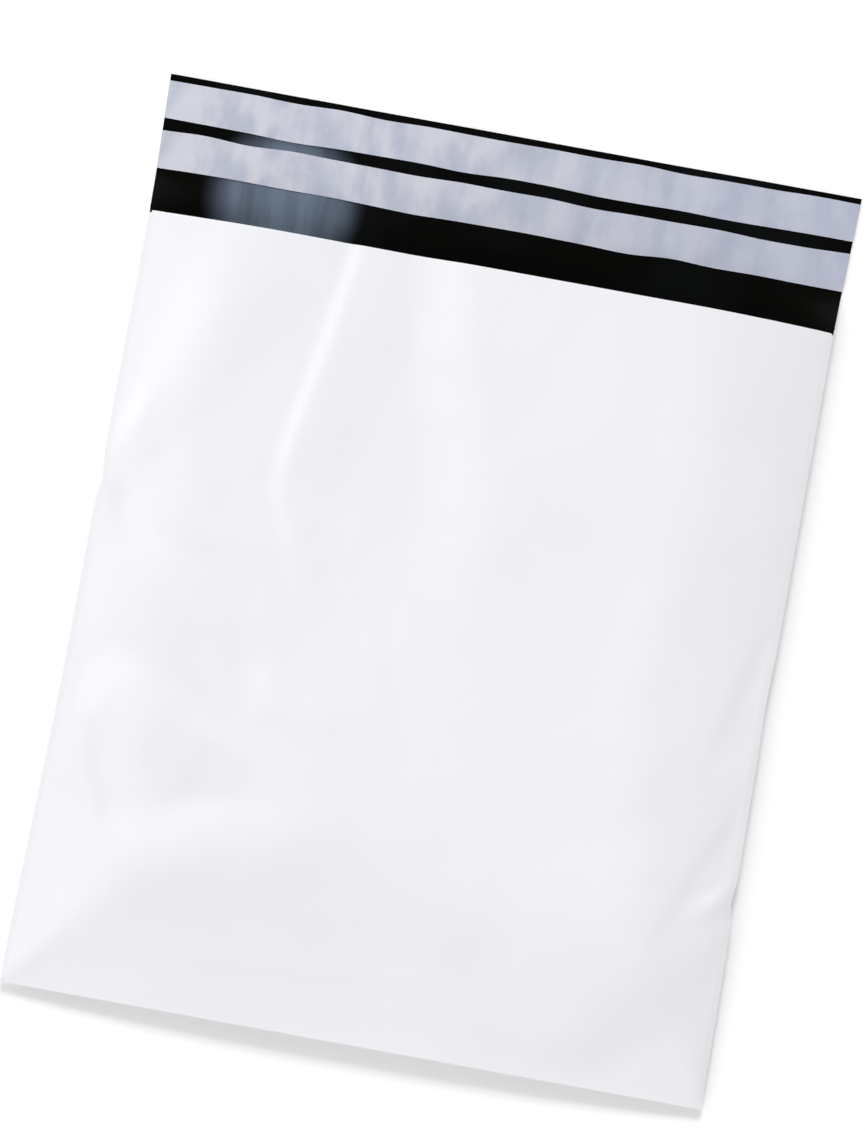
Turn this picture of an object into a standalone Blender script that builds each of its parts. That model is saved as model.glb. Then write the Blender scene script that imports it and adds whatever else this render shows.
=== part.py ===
"""A poly mailer bag, open and lying on its back, with the shape that its contents gave it.

The bag is one sheet of film. It is folded once across, which makes the bottom, and its two layers are
welded along both sides. The back layer runs on past the mouth as the closing flap. The flap's inside
carries two seals side by side, each a strip of adhesive under a peel-off liner.

Metres, +Z up. The bag rests on z = 0, with its mouth and flap towards +Y. The origin is the middle of
its footprint.
"""

import bmesh
import bpy
import numpy as np

MM = 0.001

# The film as it is cut and folded
BAG_WIDTH = 0.350
BAG_LENGTH = 0.390
FLAP_LENGTH = 0.070
FILM_GAUGE = 0.00007

# The seals, measured in from the flap's free edge
LINER_WIDTH = 0.019
LINER_GAUGE = 0.00006
ADHESIVE_WIDTH = 0.013
ADHESIVE_GAUGE = 0.0001
FLAP_MARGIN = 0.0035
SEAL_GAP = 0.006
SEAT_GAP = 0.0003
SETTLE_CLEARANCE = 0.004

# How far the side welds, the bottom fold and the bottom corners stand off the surface
SEAM_LIFT = 0.0055
FOLD_LIFT = 0.0075
CORNER_LIFT = 0.0035
CORNER_RUN = 0.110

# The back turns up to its edges over these widths
SIDE_TURN_UP = 0.052
BOTTOM_TURN_UP = 0.070

# The contents lay in two layers. The film is level over each layer, and taut from there to the welds and
# the bottom fold. These are the lower layer's height over the welds, and the run and rise of the taut film.
LOWER_LAYER = 0.0076
SIDE_RUN = 0.066
LEFT_RISE = 0.0115
RIGHT_RISE = 0.0125
BOTTOM_RUN = 0.090
BOTTOM_RISE = 0.0125
SHOULDER_POWER = 9.0

# The welds are drawn in a little where the film rises, and a little more at a few notches. A notch is
# (side, place from the bottom fold, depth, half length).
SIDE_DRAW = 0.0024
SIDE_DRAW_RUN = 0.166
NOTCHES = ((-1, 0.255, 0.0016, 0.009), (1, 0.102, 0.0013, 0.008), (1, 0.200, 0.0008, 0.022))

# The routes below are drawn in millimetres on a bag of this width and length, x from its middle and y from
# its bottom fold, and they stretch with the bag.
DRAWN_WIDTH = 350.0
DRAWN_LENGTH = 400.0

# The left edge of the contents' upper layer, from the mouth down: (x, y, step up, width of the step)
UPPER_LAYER_EDGE = (
    (-27, 410, 5.0, 37),
    (-17, 354, 5.0, 37),
    (-5, 315, 4.8, 39),
    (1, 286, 4.5, 44),
    (1, 262, 4.3, 54),
    (-6, 238, 4.1, 76),
    (-20, 214, 4.0, 104),
    (-40, 186, 4.0, 124),
    (-56, 150, 4.0, 120),
    (-64, 122, 3.9, 88),
    (-76, 102, 3.7, 58),
    (-98, 84, 3.4, 42),
    (-130, 64, 3.0, 36),
)

# Soft folds of the front, each a ridge, or a hollow where its height is negative. A route's points are
# (x, y, height, reach on its left, reach on its right), and a short reach makes a steep side.
SOFT_FOLDS = {
    "long_crease": (
        (-69.5, 412, 1.8, 44, 8),
        (-76, 352, 1.8, 42, 8),
        (-81, 312, 1.7, 38, 8),
        (-84.5, 285, 1.5, 34, 8),
        (-84, 264, 1.2, 28, 9),
        (-79, 245, 1.0, 22, 10),
        (-71, 228, 0.6, 16, 10),
        (-64, 208, 0.0, 12, 10),
    ),
    "mouth_pleat": (
        (-104, 412, 1.9, 44, 40),
        (-119, 380, 2.1, 42, 36),
        (-136, 345, 2.0, 36, 27),
        (-149, 308, 1.6, 28, 18),
        (-159, 282, 1.1, 18, 12),
        (-166, 268, 0.0, 8, 8),
    ),
    "notch_valley": (
        (-174, 264, -1.0, 9, 9),
        (-160, 251, -1.9, 12, 14),
        (-146, 236, -1.4, 12, 22),
        (-122, 226, -0.6, 12, 28),
        (-94, 228, -0.4, 12, 30),
        (-68, 231, 0.0, 12, 24),
    ),
    "notch_lip": ((-171, 276, 1.3, 9, 8), (-164, 288, 0.9, 9, 9), (-154, 312, 0.0, 10, 10)),
    "weld_swell": ((-160, 246, 0.0, 20, 12), (-156, 225, 0.7, 34, 14), (-156, 190, 0.7, 34, 14), (-154, 160, 0.0, 20, 12)),
    "upper_slump": (
        (-156, 166, 0.0, 12, 20),
        (-142, 156, 1.6, 16, 34),
        (-120, 146, 2.2, 14, 36),
        (-98, 136, 1.8, 12, 36),
        (-70, 124, 0.0, 10, 20),
    ),
    "hem_ridge": (
        (-140, 68, 0.2, 20, 20),
        (-126, 76, 0.9, 26, 30),
        (-104, 84, 1.3, 26, 40),
        (-72, 92, 1.0, 24, 40),
        (-40, 98, 0.5, 20, 30),
        (-6, 104, 0.2, 16, 20),
        (30, 110, 0.0, 12, 12),
    ),
    "slump_fold": ((-86, 176, 0.0, 14, 16), (-68, 164, 0.8, 14, 18), (-50, 158, 0.7, 12, 16), (-26, 160, 0.0, 10, 10)),
    "left_hollow": ((-154, 140, 0.0, 10, 10), (-144, 118, -0.9, 11, 11), (-133, 96, -1.2, 11, 11), (-122, 76, 0.0, 10, 10)),
    "slump_hollow": ((-96, 206, 0.0, 12, 12), (-84, 180, -0.7, 14, 14), (-78, 150, 0.0, 10, 10)),
    "right_fold": (
        (174, 250, 0.0, 14, 9),
        (168, 232, -0.7, 18, 9),
        (160, 204, -1.0, 22, 9),
        (155, 180, -0.8, 22, 9),
        (150, 162, 0.0, 16, 9),
    ),
    "right_diagonal": (
        (174, 158, 0.0, 14, 9),
        (167, 138, -0.8, 18, 9),
        (155, 114, -1.0, 22, 9),
        (146, 88, -0.8, 24, 9),
        (138, 60, 0.0, 18, 9),
    ),
    "right_nick": ((176, 114, 0.8, 7, 6), (168, 106, 1.1, 8, 6), (158, 97, 0.0, 7, 6)),
    "right_corner": (
        (166, 120, 0.0, 26, 40),
        (148, 92, 1.7, 38, 70),
        (122, 56, 2.2, 42, 76),
        (98, 24, 1.3, 34, 60),
        (84, 6, 0.0, 20, 40),
    ),
    "right_swell": ((150, 412, 0.6, 24, 36), (150, 262, 0.9, 24, 36), (149, 120, 0.7, 24, 36), (146, 80, 0.0, 20, 30)),
    "right_shoulder": (
        (106, 412, 0.3, 28, 30),
        (117, 340, 0.6, 26, 30),
        (121, 282, 0.7, 24, 28),
        (112, 226, 0.7, 18, 26),
        (112, 182, 0.5, 18, 24),
        (120, 165, 0.6, 16, 24),
        (117, 150, 0.6, 16, 24),
        (124, 112, 0.5, 18, 22),
        (128, 76, 0.0, 22, 22),
    ),
}

# A fold stays at least this wide on each side, so that the mesh carries it, and dies out over these widths
# towards the welds and the bottom fold.
LEAST_REACH = 0.010
WELD_CALM = 0.012
FOLD_CALM = 0.016

# Mesh columns and rows
COLUMNS = 44
BODY_ROWS = 40
FLAP_ROWS = 6

WHITE_FILM = ("white_film", (0.87, 0.87, 0.90), 0.32)
BLACK_FILM = ("black_film", (0.012, 0.013, 0.014), 0.25)
CLEAR_GUM = ("clear_gum", (0.62, 0.58, 0.47), 0.30)
PEEL_LINER = ("peel_liner", (0.56, 0.58, 0.66), 0.35)

# The plan length that the front loses by rising from the bottom fold
LENGTH_TAKEN_UP = (SEAM_LIFT + BOTTOM_RISE - FOLD_LIFT) ** 2 / (2.0 * BOTTOM_RUN)
BODY_PLAN_LENGTH = BAG_LENGTH - LENGTH_TAKEN_UP
FOLD_Y = -(BODY_PLAN_LENGTH + FLAP_LENGTH) / 2.0
MOUTH_Y = FOLD_Y + BODY_PLAN_LENGTH
FLAP_EDGE_Y = MOUTH_Y + FLAP_LENGTH
SHIPPING_SEAL_Y = FLAP_EDGE_Y - FLAP_MARGIN - LINER_WIDTH / 2.0
RETURN_SEAL_Y = SHIPPING_SEAL_Y - LINER_WIDTH - SEAL_GAP
FLAP_SETTLE = RETURN_SEAL_Y - LINER_WIDTH / 2.0 - SETTLE_CLEARANCE - MOUTH_Y


def clear_scene():
    """Removes what the start-up scene holds."""
    for obj in list(bpy.data.objects):
        bpy.data.objects.remove(obj)


def material(name, colour, roughness):
    """A Principled BSDF of one plain colour."""
    made = bpy.data.materials.new(name)
    made.use_nodes = True
    shader = made.node_tree.nodes["Principled BSDF"]
    shader.inputs["Base Color"].default_value = (*colour, 1.0)
    shader.inputs["Roughness"].default_value = roughness
    shader.inputs["Metallic"].default_value = 0.0
    return made


def ease(share):
    """A smooth step from 0 to 1, level at both ends."""
    share = np.clip(share, 0.0, 1.0)
    return share * share * (3.0 - 2.0 * share)


def soft_min(*levels):
    """The lowest of these levels, rounded off where two meet: the power mean of order -SHOULDER_POWER."""
    return sum(np.maximum(level, MM / 1000.0) ** -SHOULDER_POWER for level in levels) ** (-1.0 / SHOULDER_POWER)


def route_in_metres(route):
    """A drawn route with x and y stretched to this bag, and all its numbers in metres."""
    stretch = (BAG_WIDTH / (DRAWN_WIDTH * MM), BAG_LENGTH / (DRAWN_LENGTH * MM))
    return [(x * MM * stretch[0], y * MM * stretch[1], *(value * MM for value in rest)) for x, y, *rest in route]


def beside(route, x, y):
    """For points in plan: the distance to the route, whether the point is on its left, and the route's own
    values there. Each point takes them from the nearest of the route's straight stretches."""
    nearest = np.full(x.shape, np.inf)
    left = np.zeros(x.shape, bool)
    values = np.zeros(x.shape + (len(route[0]) - 2,))
    for start, end in zip(route, route[1:]):
        run_x, run_y = end[0] - start[0], end[1] - start[1]
        off_x, off_y = x - start[0], y - start[1]
        share = np.clip((off_x * run_x + off_y * run_y) / (run_x**2 + run_y**2), 0.0, 1.0)
        distance = np.hypot(off_x - share * run_x, off_y - share * run_y)
        closer = distance < nearest
        nearest = np.where(closer, distance, nearest)
        left = np.where(closer, run_x * off_y - run_y * off_x > 0.0, left)
        here = np.array(start[2:]) + share[..., None] * (np.array(end[2:]) - np.array(start[2:]))
        values = np.where(closer[..., None], here, values)
    return nearest, left, values


def draw_in(side, y):
    """How far the weld of this side is drawn in at this distance from the bottom fold."""
    drawn = SIDE_DRAW * ease(y / SIDE_DRAW_RUN)
    for notch_side, place, depth, half_length in NOTCHES:
        drawn = drawn + (side == notch_side) * depth * np.exp(-(((y - place) / half_length) ** 2))
    return drawn


def weld_height(y):
    """Height of a side weld over the surface: the corner's at the bottom fold, then the seam's."""
    return CORNER_LIFT + (SEAM_LIFT - CORNER_LIFT) * ease(y / CORNER_RUN)


def fold_height(x):
    """Height of the bottom fold over the surface, highest at its middle."""
    return CORNER_LIFT + (FOLD_LIFT - CORNER_LIFT) * (1.0 - np.abs(2.0 * x / BAG_WIDTH) ** 2.5)


def over_contents(x, y):
    """Height of the front over its welds: level over the two layers, and taut down to the edges."""
    distance, left, step = beside(route_in_metres(UPPER_LAYER_EDGE), x, y)
    signed = np.where(left, distance, -distance)
    plateau = LOWER_LAYER + step[..., 0] * ease(signed / step[..., 1] + 0.5)
    from_left, from_right = BAG_WIDTH / 2.0 + x, BAG_WIDTH / 2.0 - x
    return soft_min(
        plateau,
        from_left * LEFT_RISE / SIDE_RUN,
        from_right * RIGHT_RISE / SIDE_RUN,
        y * BOTTOM_RISE / BOTTOM_RUN,
    )


def soft_folds(x, y):
    """What the soft folds add to the front. A fold's section is (1 - (distance / reach)^2)^2 on each side."""
    total = np.zeros(x.shape)
    for route in SOFT_FOLDS.values():
        distance, left, values = beside(route_in_metres(route), x, y)
        reach = np.maximum(np.where(left, values[..., 1], values[..., 2]), LEAST_REACH)
        total += values[..., 0] * np.maximum(0.0, 1.0 - (distance / reach) ** 2) ** 2
    from_weld = BAG_WIDTH / 2.0 - np.abs(x)
    return total * ease(from_weld / WELD_CALM) * ease(y / FOLD_CALM)


def front_height(x, y):
    """Height of the front's outer face over the surface that the bag lies on."""
    fold_part = np.maximum(0.0, 1.0 - y / BOTTOM_RUN) ** 1.5
    edges = weld_height(y) + (fold_height(x) - CORNER_LIFT) * fold_part
    return edges + over_contents(x, y) + soft_folds(x, y)


def back_height(x, y):
    """Height of the back's outer face: flat on the surface, turned up to the welds and the bottom fold."""
    side_share = np.maximum(0.0, 1.0 - (BAG_WIDTH / 2.0 - np.abs(x)) / SIDE_TURN_UP) ** 2
    bottom_share = np.maximum(0.0, 1.0 - y / BOTTOM_TURN_UP) ** 2
    side_part = weld_height(y) * side_share
    return side_part + (fold_height(x) - weld_height(y) * side_share) * bottom_share


def body_points(across, along, height):
    """Points of the front or the back, at a share of the half width and of the length from the fold."""
    full_x, y = across * BAG_WIDTH / 2.0, along * BODY_PLAN_LENGTH
    x = full_x - across * draw_in(np.sign(across), y)
    return np.stack([x, FOLD_Y + y, height(full_x, y)], axis=-1)


def flap_points(across, past_mouth):
    """Points of the flap, at a share of its length past the mouth: flat once its edges have settled."""
    at_mouth = body_points(across, np.ones(across.shape), back_height)
    x = at_mouth[..., 0] + (across * BAG_WIDTH / 2.0 - at_mouth[..., 0]) * past_mouth
    z = at_mouth[..., 2] * (1.0 - ease(past_mouth * FLAP_LENGTH / FLAP_SETTLE))
    return np.stack([x, MOUTH_Y + past_mouth * FLAP_LENGTH, z], axis=-1)


def folded(across, row):
    """Where the points of the flat sheet lie once it is folded. Rows run from the front's mouth edge down
    the front, round the bottom fold, up the back and along the flap."""
    front = body_points(across, np.clip(1.0 - row / BODY_ROWS, 0.0, 1.0), front_height)
    back = body_points(across, np.clip(row / BODY_ROWS - 1.0, 0.0, 1.0), back_height)
    flap = flap_points(across, np.clip((row - 2 * BODY_ROWS) / FLAP_ROWS, 0.0, 1.0))
    behind = (row > BODY_ROWS)[..., None]
    beyond = (row > 2 * BODY_ROWS)[..., None]
    return np.where(beyond, flap, np.where(behind, back, front))


def split_corners(bm):
    """Splits the quads at the two bottom corners from the corner inwards, so that no triangle of the front
    spans the corner on the same three points as one of the back."""
    corners = [vert for vert in bm.verts if len(vert.link_faces) == 2 and not vert.is_boundary]
    for corner in corners:
        for face in corner.link_faces[:]:
            loop = next(loop for loop in face.loops if loop.vert == corner)
            bmesh.utils.face_split(face, corner, loop.link_loop_next.link_loop_next.vert)


def film_sheet():
    """The film: a flat sheet, folded, its two layers welded at the sides, then given its thickness inwards."""
    rows = 2 * BODY_ROWS + FLAP_ROWS
    bm = bmesh.new()
    bmesh.ops.create_grid(bm, x_segments=COLUMNS, y_segments=rows, size=1.0)
    flat = np.array([vert.co for vert in bm.verts])
    for vert, place in zip(bm.verts, folded(flat[:, 0], np.round((1.0 - flat[:, 1]) / 2.0 * rows))):
        vert.co = place
    bmesh.ops.remove_doubles(bm, verts=bm.verts[:], dist=FILM_GAUGE / 10.0)
    split_corners(bm)
    bmesh.ops.triangulate(bm, faces=bm.faces[:], quad_method="SHORT_EDGE")
    bmesh.ops.recalc_face_normals(bm, faces=bm.faces[:])
    mesh = bpy.data.meshes.new("mailer_film")
    bm.to_mesh(mesh)
    bm.free()
    mesh.shade_smooth()
    mesh.materials.append(material(*WHITE_FILM))
    mesh.materials.append(material(*BLACK_FILM))
    film = bpy.data.objects.new("mailer_film", mesh)
    wall = film.modifiers.new("wall", "SOLIDIFY")
    wall.thickness = FILM_GAUGE
    wall.offset = -1.0
    wall.use_even_offset = True
    wall.material_offset = 1
    return film


def strip(name, width, gauge, centre_y, underside_z, finish):
    """A flat strip right across the flap."""
    bm = bmesh.new()
    bmesh.ops.create_cube(bm, size=1.0)
    bmesh.ops.scale(bm, verts=bm.verts[:], vec=(BAG_WIDTH, width, gauge))
    mesh = bpy.data.meshes.new(name)
    bm.to_mesh(mesh)
    bm.free()
    mesh.materials.append(finish)
    made = bpy.data.objects.new(name, mesh)
    made.location = (0.0, centre_y, underside_z + gauge / 2.0)
    return made


def seal(name, centre_y, gum, liner):
    """One seal: the adhesive on the flap's inner face, and the liner over it, a seat gap apart."""
    adhesive_z = FILM_GAUGE + SEAT_GAP
    liner_z = adhesive_z + ADHESIVE_GAUGE + SEAT_GAP
    return (
        strip(name + "_adhesive", ADHESIVE_WIDTH, ADHESIVE_GAUGE, centre_y, adhesive_z, gum),
        strip(name + "_liner", LINER_WIDTH, LINER_GAUGE, centre_y, liner_z, liner),
    )


def main():
    clear_scene()
    parts = bpy.data.collections.new("poly_mailer_bag")
    bpy.context.scene.collection.children.link(parts)
    gum = material(*CLEAR_GUM)
    liner = material(*PEEL_LINER)
    for piece in (
        film_sheet(),
        *seal("shipping_seal", SHIPPING_SEAL_Y, gum, liner),
        *seal("return_seal", RETURN_SEAL_Y, gum, liner),
    ):
        parts.objects.link(piece)


main()
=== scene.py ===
# %% [markdown]
# # A poly mailer bag
#
# The bag is one long sheet of plastic film, white outside and black inside. It is folded once across,
# which makes the bottom, and its two layers are welded along both sides. The back layer runs on past the
# mouth as the closing flap, and the flap carries two seals: strips of adhesive under peel-off liners.
#
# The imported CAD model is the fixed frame. Everything here is made in metres in that frame, and lies where
# the CAD solids lie: the bag on its back on z = 0, its mouth towards +Y, the middle of it at x = y = 0.
# The front lies up to 2.6 mm off the CAD's and the flap up to 1.4 mm, as their own steps say.

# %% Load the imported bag
import math
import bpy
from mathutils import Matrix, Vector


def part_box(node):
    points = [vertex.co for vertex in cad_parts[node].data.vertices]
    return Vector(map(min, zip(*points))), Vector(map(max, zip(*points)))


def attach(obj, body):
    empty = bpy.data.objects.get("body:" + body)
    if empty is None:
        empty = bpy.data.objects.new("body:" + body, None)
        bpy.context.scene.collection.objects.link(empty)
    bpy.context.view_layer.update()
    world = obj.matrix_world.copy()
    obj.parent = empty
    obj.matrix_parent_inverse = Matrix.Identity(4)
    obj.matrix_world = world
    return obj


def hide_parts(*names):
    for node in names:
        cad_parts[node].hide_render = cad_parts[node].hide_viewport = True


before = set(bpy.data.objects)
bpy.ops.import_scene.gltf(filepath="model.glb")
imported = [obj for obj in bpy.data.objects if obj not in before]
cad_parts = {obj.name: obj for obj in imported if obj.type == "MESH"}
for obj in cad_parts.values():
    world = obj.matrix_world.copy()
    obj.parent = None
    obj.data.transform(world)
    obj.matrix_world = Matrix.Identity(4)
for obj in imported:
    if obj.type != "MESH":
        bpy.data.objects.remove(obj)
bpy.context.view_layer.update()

# %% Modules and units
import bpy
import numpy as np
from mathutils import Matrix

MM = 0.001

# %% [markdown]
# ## The sizes of the bag
#
# These are the sizes that the CAD source uses. The film is 70 microns thick, so all that the eye reads
# from it is its outline, its soft folds, its two colours and its gloss. The two lengths in plan come
# from the frame itself, because the front loses a little length by rising from the fold to its crown.

# %% Sizes
BAG_WIDTH, BAG_LENGTH, FLAP_LENGTH = 0.350, 0.390, 0.070
FILM_GAUGE = 0.00007
HALF_WIDTH = BAG_WIDTH / 2.0
FOLD_Y, FLAP_EDGE_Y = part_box("mailer_film")[0][1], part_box("mailer_film")[1][1]
MOUTH_Y = FLAP_EDGE_Y - FLAP_LENGTH
BODY_PLAN_LENGTH = MOUTH_Y - FOLD_Y
print(f"fold at y {FOLD_Y:.4f}, mouth at {MOUTH_Y:.4f}, flap edge at {FLAP_EDGE_Y:.4f}")

# %% [markdown]
# ## A route and what lies beside it
#
# Film that has been filled, handled and laid down keeps soft folds. Each one runs along a line, has a
# height that grows and dies along that line, and is often steep on one side and gentle on the other. A
# cloth simulation alone wouldn't put a fold where the picture shows it, and a fold sculpted by hand is
# slow to change. So the folds are drawn as routes, and a relaxation afterwards makes them look like film.
#
# The helper below measures all the points of a surface against one route at once.

# %% Smooth step and distance to a route
def ease(share):
    """A smooth step: 3 s^2 - 2 s^3 of the share s, held between 0 and 1."""
    share = np.clip(share, 0.0, 1.0)
    return share * share * (3.0 - 2.0 * share)


# The routes are drawn in millimetres on a bag of 350 by 400, x from its middle and y from its bottom fold.
DRAWN_STRETCH = (BAG_WIDTH / 0.350, BAG_LENGTH / 0.400)


def in_metres(route):
    """A drawn route stretched to this bag, with all its numbers in metres."""
    wide, long = DRAWN_STRETCH
    return [(x * MM * wide, y * MM * long, *(v * MM for v in rest)) for x, y, *rest in route]


def beside(route, x, y):
    """Distance to the route, whether the point is on its left, and the route's values at the nearest
    place. For each straight stretch the share along it is the offset times the run over the run squared."""
    nearest = np.full(x.shape, np.inf)
    left = np.zeros(x.shape, bool)
    values = np.zeros(x.shape + (len(route[0]) - 2,))
    for start, end in zip(route, route[1:]):
        run_x, run_y = end[0] - start[0], end[1] - start[1]
        off_x, off_y = x - start[0], y - start[1]
        share = np.clip((off_x * run_x + off_y * run_y) / (run_x**2 + run_y**2), 0.0, 1.0)
        distance = np.hypot(off_x - share * run_x, off_y - share * run_y)
        closer = distance < nearest
        nearest = np.where(closer, distance, nearest)
        left = np.where(closer, run_x * off_y - run_y * off_x > 0.0, left)
        here = np.array(start[2:]) + share[..., None] * (np.array(end[2:]) - np.array(start[2:]))
        values = np.where(closer[..., None], here, values)
    return nearest, left, values


# %% [markdown]
# ## The front of the bag
#
# The front stands as if over two flat layers, level over each and taut from there down to the side welds
# and the bottom fold. A height field says this well: one level for each layer, one slope for each edge,
# and everywhere the lowest of them, rounded off where they meet. The upper layer's left edge is a route
# too. It is the long soft line that runs down the front from the mouth.
#
# The CAD's front is drawn in the same way, on a coarser grid. The right slope and some folds were drawn
# again here after the solids were done, to meet the picture's shading. So this front stands up to 2.6 mm
# above the CAD's on the right slope. Half of its points are within 0.2 mm of the CAD's height.

# %% The front's main form
SEAM_LIFT, FOLD_LIFT, CORNER_LIFT, CORNER_RUN = 0.0055, 0.0075, 0.0035, 0.110
LOWER_LAYER, SIDE_RUN, LEFT_RISE, RIGHT_RISE, RIGHT_BULGE = 0.0076, 0.066, 0.0115, 0.0142, 0.82
BOTTOM_RUN, BOTTOM_RISE, BOTTOM_FADE = 0.090, 0.0125, 1.5
SHOULDER_POWER, LEAST_LEVEL, FOLD_FULLNESS = 9.0, 0.001 * MM, 2.5

# (x, y, step up, width of the step)
UPPER_LAYER_EDGE = (
    (-27, 410, 5.0, 37), (-17, 354, 5.0, 37), (-5, 315, 4.8, 39), (1, 286, 4.5, 43), (2, 262, 4.4, 48),
    (-4, 238, 4.2, 66), (-20, 214, 4.0, 100), (-40, 186, 4.0, 124), (-56, 150, 4.0, 120),
    (-64, 122, 3.9, 88), (-76, 102, 3.7, 58), (-98, 84, 3.4, 42), (-130, 64, 3.0, 36),
)


def soft_min(*levels):
    """The lowest of the levels, rounded where two meet: (sum of level^-p)^(-1/p), p the SHOULDER_POWER."""
    powers = sum(np.maximum(level, LEAST_LEVEL) ** -SHOULDER_POWER for level in levels)
    return powers ** (-1.0 / SHOULDER_POWER)


def weld_height(y):
    """Height of a side weld: the corner's at the bottom fold, easing to the seam's."""
    return CORNER_LIFT + (SEAM_LIFT - CORNER_LIFT) * ease(y / CORNER_RUN)


def fold_height(x):
    """Height of the bottom fold: it rises from the corners' by the share 1 - |2x / width|^FOLD_FULLNESS."""
    return CORNER_LIFT + (FOLD_LIFT - CORNER_LIFT) * (1.0 - np.abs(x / HALF_WIDTH) ** FOLD_FULLNESS)


def over_welds_height(flat_x, x, y):
    """Height over the welds: the two layers, and the taut slopes down to the sides and the bottom. The
    right slope bulges a little: its height is a power of the distance from the weld."""
    distance, left, step = beside(in_metres(UPPER_LAYER_EDGE), x, y)
    signed = np.where(left, distance, -distance)
    plateau = LOWER_LAYER + step[..., 0] * ease(signed / step[..., 1] + 0.5)
    return soft_min(
        plateau,
        (HALF_WIDTH + flat_x) * LEFT_RISE / SIDE_RUN,
        RIGHT_RISE * np.maximum((HALF_WIDTH - flat_x) / SIDE_RUN, 0.0) ** RIGHT_BULGE,
        y * BOTTOM_RISE / BOTTOM_RUN,
    )


# %% [markdown]
# ## The soft folds of the front
#
# Each fold below is drawn from a line or from the shading in the picture: the long crease from the mouth,
# the pleat beside it that runs out to the notch in the left weld, the slump at the lower left with the hem
# ridge under it, and the short diagonal hollows along the right weld. A negative height is a hollow.

# %% The soft folds
# Points are (x, y, height, reach on the left, reach on the right)
SOFT_FOLDS = {
    "long_crease": (
        (-61.5, 412, 1.8, 44, 8), (-69, 358, 1.8, 42, 8), (-74.5, 325, 1.7, 40, 8), (-79, 300, 1.6, 36, 8),
        (-81.5, 284, 1.4, 34, 8), (-80, 266, 1.0, 28, 9), (-72, 246, 0.8, 22, 9), (-63.5, 230, 0.5, 16, 9),
        (-56, 212, 0.0, 12, 10),
    ),
    "mouth_pleat": (
        (-96, 412, 1.4, 40, 40), (-111, 380, 1.6, 40, 38), (-132, 345, 1.6, 36, 29),
        (-149, 308, 1.4, 28, 18), (-159, 282, 1.1, 18, 12), (-166, 268, 0.0, 8, 8),
    ),
    "notch_valley": (
        (-174, 264, -1.0, 9, 9), (-160, 251, -1.9, 12, 14), (-146, 236, -1.4, 12, 22),
        (-122, 226, -0.6, 12, 28), (-94, 228, -0.4, 12, 30), (-68, 231, 0.0, 12, 24),
    ),
    "notch_lip": ((-171, 276, 1.3, 9, 8), (-164, 288, 0.9, 9, 9), (-154, 312, 0.0, 10, 10)),
    "weld_swell": (
        (-160, 246, 0.0, 20, 12), (-156, 225, 0.7, 34, 14),
        (-156, 190, 0.7, 34, 14), (-154, 160, 0.0, 20, 12),
    ),
    "upper_slump": (
        (-158, 168, 0.0, 14, 20), (-144, 158, 2.2, 20, 34), (-121, 147, 3.1, 20, 36),
        (-98, 136, 2.5, 16, 36), (-70, 124, 0.0, 10, 20),
    ),
    "hem_ridge": (
        (-140, 68, 0.2, 18, 20), (-126, 76, 1.2, 22, 30), (-104, 84, 1.7, 22, 40), (-72, 92, 1.1, 22, 40),
        (-40, 98, 0.5, 20, 30), (-6, 104, 0.2, 16, 20), (30, 110, 0.0, 12, 12),
    ),
    "slump_fold": (
        (-86, 176, 0.0, 14, 16), (-68, 164, 0.8, 14, 18), (-50, 158, 0.7, 12, 16), (-26, 160, 0.0, 10, 10),
    ),
    "left_hollow": (
        (-154, 142, 0.0, 16, 10), (-146, 120, -1.2, 22, 10),
        (-136, 97, -1.5, 22, 10), (-124, 76, 0.0, 14, 10),
    ),
    "slump_hollow": ((-96, 206, 0.0, 12, 12), (-84, 180, -0.7, 14, 14), (-78, 150, 0.0, 10, 10)),
    "faint_line": ((-22, 238, 0.0, 8, 8), (-14, 196, -0.3, 8, 10), (2, 152, -0.3, 8, 9), (8, 134, 0.0, 8, 8)),
    "right_fold": (
        (174, 250, 0.0, 14, 9), (168, 232, -0.7, 18, 9), (160, 204, -1.0, 22, 9), (155, 180, -0.8, 22, 9),
        (150, 162, 0.0, 16, 9),
    ),
    "right_diagonal": (
        (174, 158, 0.0, 14, 9), (167, 138, -0.8, 18, 9), (155, 114, -1.0, 22, 9), (146, 88, -0.8, 24, 9),
        (138, 60, 0.0, 18, 9),
    ),
    "right_nick": ((176, 114, 1.2, 8, 7), (168, 106, 1.8, 9, 7), (158, 98, 0.8, 9, 7), (150, 93, 0.0, 7, 6)),
    "right_corner": (
        (166, 120, 0.0, 26, 40), (148, 92, 2.2, 38, 70), (122, 56, 3.0, 42, 76), (98, 24, 1.7, 34, 60),
        (84, 6, 0.0, 20, 40),
    ),
    "right_swell": (
        (150, 412, 0.6, 24, 36), (150, 262, 0.9, 24, 36), (149, 120, 0.7, 24, 36), (146, 80, 0.0, 20, 30),
    ),
    "bottom_line": ((-150, 28, 0.1, 8, 8), (-90, 31, 0.2, 8, 8), (-30, 33, 0.25, 8, 8), (53, 42, 0.0, 8, 8)),
    "bottom_line_2": (
        (-120, 13, 0.0, 8, 8), (-40, 18, 0.15, 8, 8), (60, 22, 0.15, 8, 8), (110, 20, 0.0, 8, 8),
    ),
    "right_shoulder": (
        (106, 412, 0.3, 28, 30), (117, 340, 0.6, 26, 30), (121, 282, 0.7, 24, 28), (112, 226, 0.7, 18, 26),
        (112, 182, 0.5, 18, 24), (120, 165, 0.6, 16, 24), (117, 150, 0.6, 16, 24), (124, 112, 0.5, 18, 22),
        (128, 76, 0.0, 22, 22),
    ),
}
DIE_OUT = 0.003


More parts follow.
